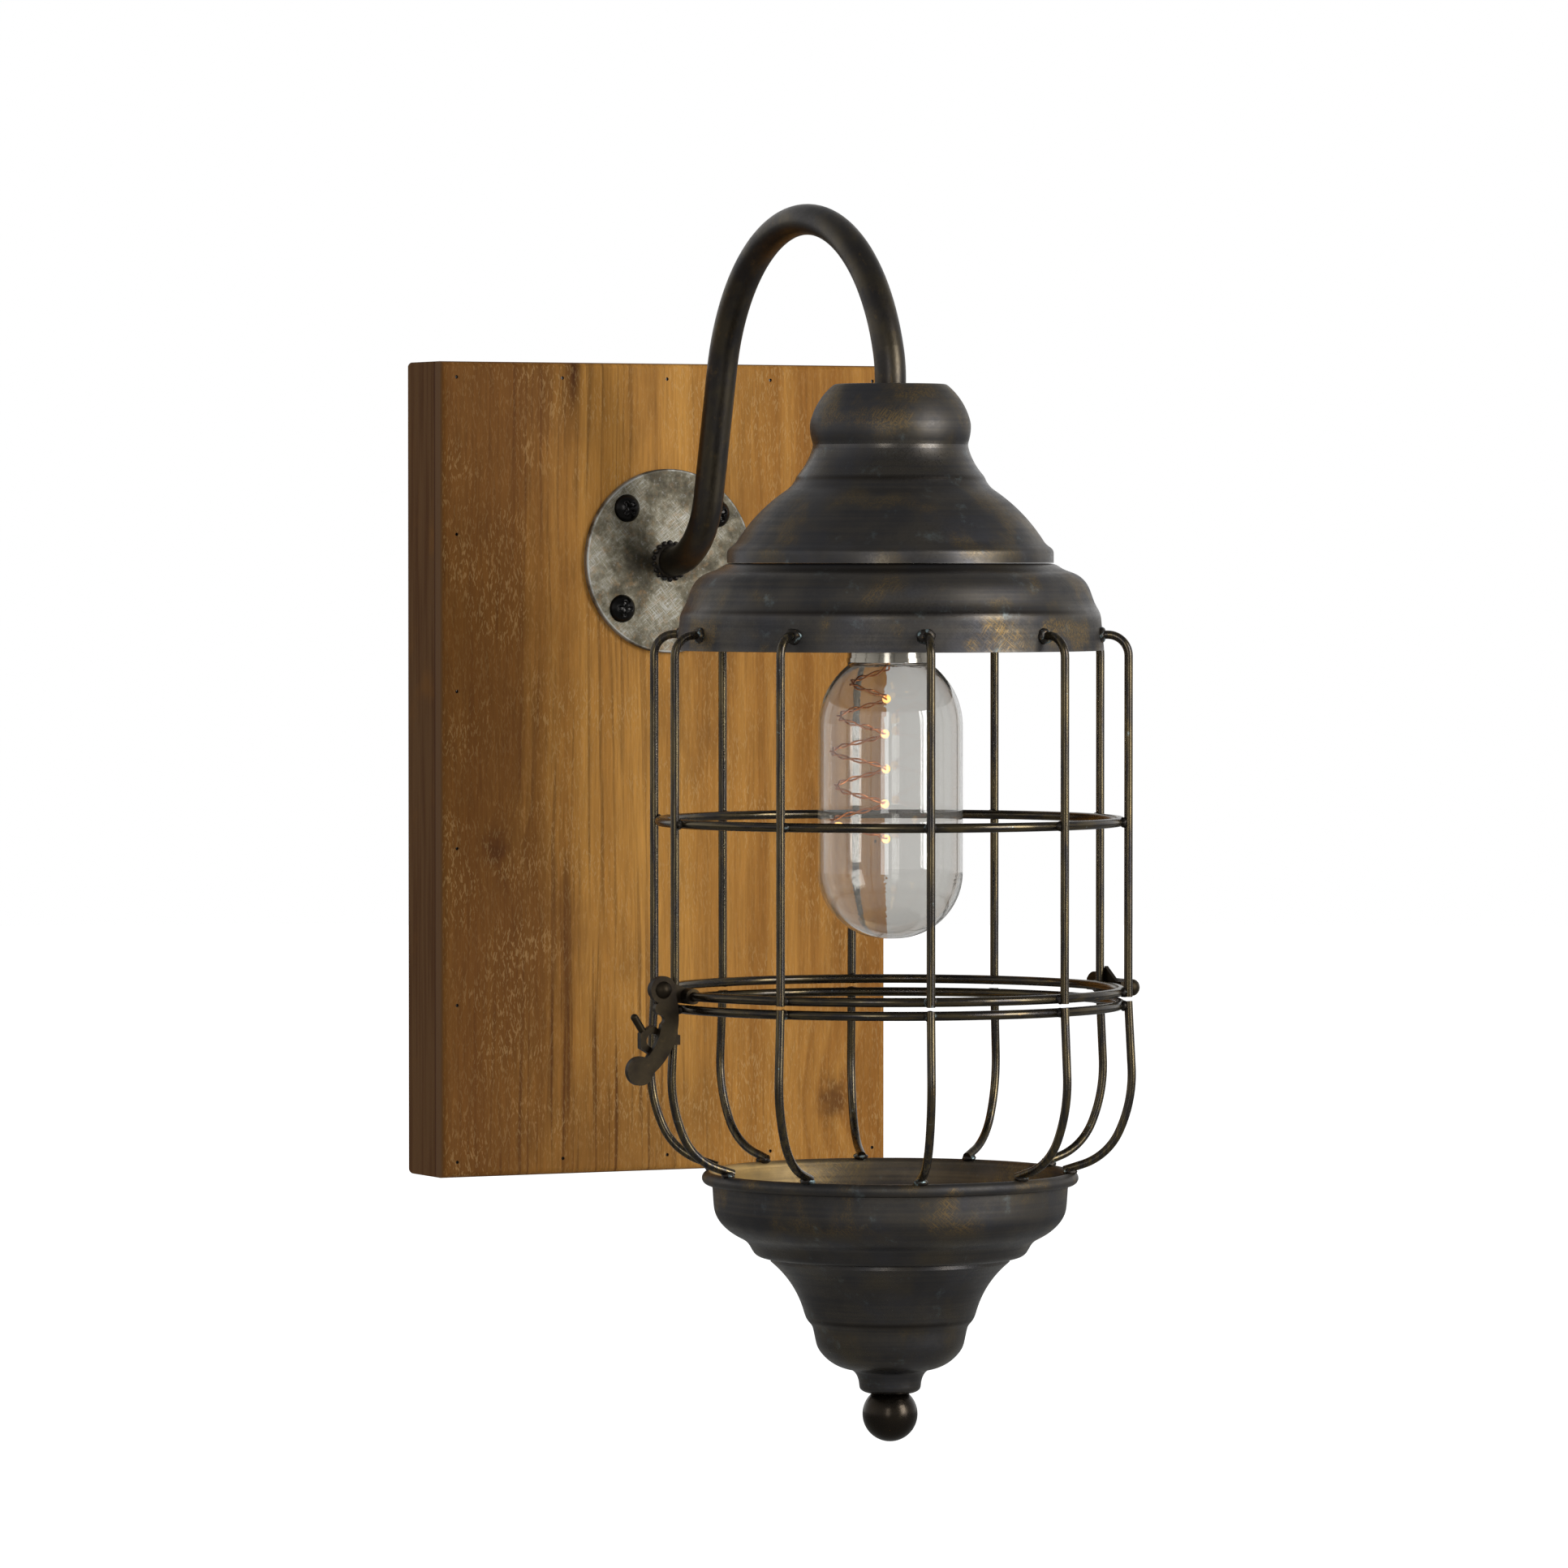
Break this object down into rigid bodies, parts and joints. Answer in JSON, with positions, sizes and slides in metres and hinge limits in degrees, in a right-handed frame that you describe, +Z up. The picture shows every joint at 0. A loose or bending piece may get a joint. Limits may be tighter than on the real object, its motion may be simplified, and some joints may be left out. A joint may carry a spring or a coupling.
{
  "type": "wall lantern",
  "caption": "Wire-cage wall lantern on a gooseneck arm: spun hood, clear bulb on a battery barrel, hinged and latched lower basket with a spun cup, all on a framed wooden board",
  "frame": {"origin": "in the wall plane, midway between the entry holes of the two keyhole hangers", "axes": "+X right as seen from the room, +Y into the wall, +Z up; the pictured side faces -Y"},
  "size_m": [0.1731, 0.2561, 0.3804],
  "materials": {
    "stained_pine": "satin stain, open grain",
    "brown_pine": "brown stain, worn",
    "zinc_steel": "zinc plated",
    "antique_pewter": "antiqued, rubbed and spotted",
    "black_screws": "black oxide",
    "antique_bronze": "blackened bronze, rubbed brown on the edges, turning lines",
    "nickel": "satin nickel",
    "fibre": "matt",
    "cell_sleeve": "plain sleeve",
    "clear_glass": "clear blown glass",
    "copper_wire": "bare copper",
    "warm_drops": "clear resin, lit warm"
  },
  "bodies": {
    "board_and_cage": {"front_panel": "stained_pine", "left_rail": "brown_pine", "right_rail": "brown_pine", "top_rail": "brown_pine", "bottom_rail": "brown_pine", "flange_backing": "brown_pine", "panel_brads": "zinc_steel", "left_hanger": "zinc_steel", "right_hanger": "zinc_steel", "hanger_screws": "zinc_steel", "wall_flange": "antique_pewter", "flange_screws": "black_screws", "gooseneck_arm": "antique_bronze", "hood_bell": "antique_bronze", "hood_skirt": "antique_bronze", "hood_washer": "antique_bronze", "mid_ring": "antique_bronze", "upper_door_ring": "antique_bronze", "latch_clip": "antique_bronze", "latch_rivet": "antique_bronze", "hinge_cage_leaf": "antique_bronze", "hinge_pin": "antique_bronze", "upper_wire_01": "antique_bronze", "upper_wire_02": "antique_bronze", "upper_wire_03": "antique_bronze", "upper_wire_04": "antique_bronze", "upper_wire_05": "antique_bronze", "upper_wire_06": "antique_bronze", "upper_wire_07": "antique_bronze", "upper_wire_08": "antique_bronze", "upper_wire_09": "antique_bronze", "upper_wire_10": "antique_bronze", "battery_barrel": "nickel", "contact_disc": "fibre", "battery_cell_1": "cell_sleeve", "battery_cell_2": "cell_sleeve", "battery_cell_3": "cell_sleeve"},
    "basket": {"lower_door_ring": "antique_bronze", "lower_wire_01": "antique_bronze", "lower_wire_02": "antique_bronze", "lower_wire_03": "antique_bronze", "lower_wire_04": "antique_bronze", "lower_wire_05": "antique_bronze", "lower_wire_06": "antique_bronze", "lower_wire_07": "antique_bronze", "lower_wire_08": "antique_bronze", "lower_wire_09": "antique_bronze", "lower_wire_10": "antique_bronze", "cup_bowl": "antique_bronze", "cup_cone": "antique_bronze", "finial_ball": "antique_bronze", "latch_keeper": "antique_bronze", "hinge_basket_leaf": "antique_bronze"},
    "latch": {"latch_lever": "antique_bronze"},
    "bulb": {"bulb_collar": "nickel", "bulb_plug": "fibre", "bulb_glass": "clear_glass", "fairy_wire": "copper_wire", "light_drops": "warm_drops"}
  },
  "joints": [
    {"name": "basket_hinge", "type": "hinge", "parent": "board_and_cage", "child": "basket", "pos_m": [0.0786, -0.1841, -0.1631], "axis": [0, -1, 0], "range_deg": [0, 100]},
    {"name": "latch_swing", "type": "hinge", "parent": "board_and_cage", "child": "latch", "pos_m": [-0.07995, -0.1881, -0.1604], "axis": [0, 1, 0], "range_deg": [0, 100]},
    {"name": "bulb_turn", "type": "hinge", "parent": "board_and_cage", "child": "bulb", "pos_m": [0, -0.1841, -0.06], "axis": [0, 0, 1], "continuous": true}
  ]
}
